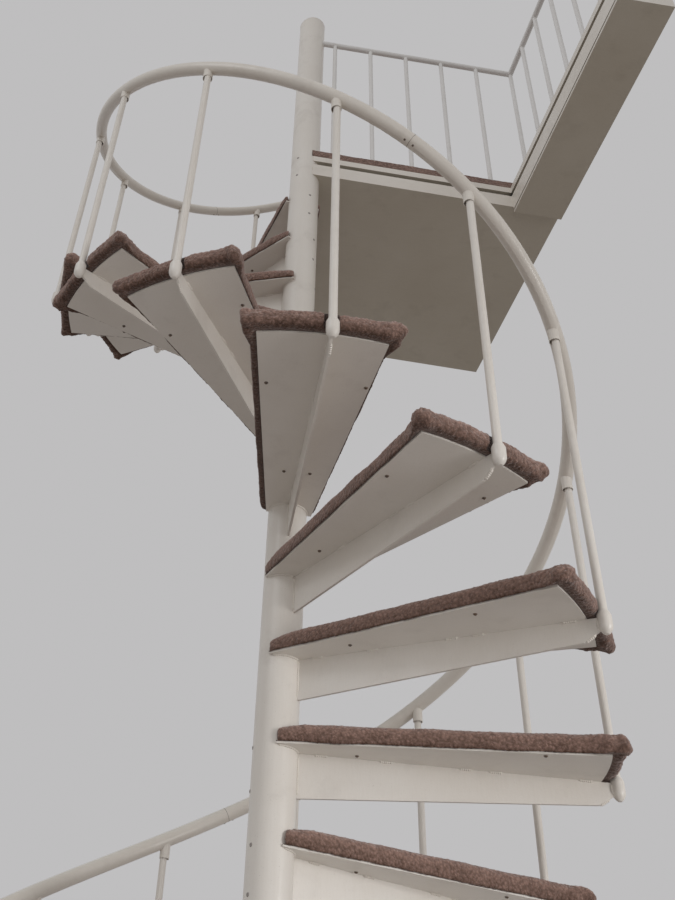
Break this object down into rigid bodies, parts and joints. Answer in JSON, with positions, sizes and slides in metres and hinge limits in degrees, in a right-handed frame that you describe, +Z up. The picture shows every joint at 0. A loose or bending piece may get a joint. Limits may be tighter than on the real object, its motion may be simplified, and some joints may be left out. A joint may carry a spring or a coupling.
{
  "type": "spiral staircase",
  "caption": "Steel spiral staircase with carpeted wedge treads, round balusters, a helical handrail and a railed landing at the top.",
  "frame": {"origin": "middle of the base plate's flat underside, on the axis of the centre column", "axes": "+Z up along the column; +X along the first side of the landing; the treads climb clockwise seen from above"},
  "size_m": [1.665, 1.692, 4.296],
  "materials": {
    "painted_steel": "satin",
    "carpet": "cut pile",
    "painted_timber": "satin paint"
  },
  "bodies": {
    "root": {"base_plate": "painted_steel", "centre_column": "painted_steel", "column_cap": "painted_steel", "tread_01": "painted_steel", "tread_02": "painted_steel", "tread_03": "painted_steel", "tread_04": "painted_steel", "tread_05": "painted_steel", "tread_06": "painted_steel", "tread_07": "painted_steel", "tread_08": "painted_steel", "tread_09": "painted_steel", "tread_10": "painted_steel", "tread_11": "painted_steel", "tread_12": "painted_steel", "tread_13": "painted_steel", "tread_14": "painted_steel", "tread_15": "painted_steel", "balusters_1": "painted_steel", "balusters_2": "painted_steel", "balusters_3": "painted_steel", "balusters_4": "painted_steel", "handrail_section_1": "painted_steel", "handrail_section_2": "painted_steel", "handrail_section_3": "painted_steel", "handrail_section_4": "painted_steel", "landing_post": "painted_steel", "guard_rail_1": "painted_steel", "guard_rail_2": "painted_steel", "guard_bars_1": "painted_steel", "guard_bars_2": "painted_steel", "tread_cover_01": "carpet", "tread_cover_02": "carpet", "tread_cover_03": "carpet", "tread_cover_04": "carpet", "tread_cover_05": "carpet", "tread_cover_06": "carpet", "tread_cover_07": "carpet", "tread_cover_08": "carpet", "tread_cover_09": "carpet", "tread_cover_10": "carpet", "tread_cover_11": "carpet", "tread_cover_12": "carpet", "tread_cover_13": "carpet", "tread_cover_14": "carpet", "tread_cover_15": "carpet", "landing_cover": "carpet", "landing_strip_cover": "carpet", "landing_platform": "painted_timber", "landing_strip": "painted_timber"}
  },
  "joints": []
}
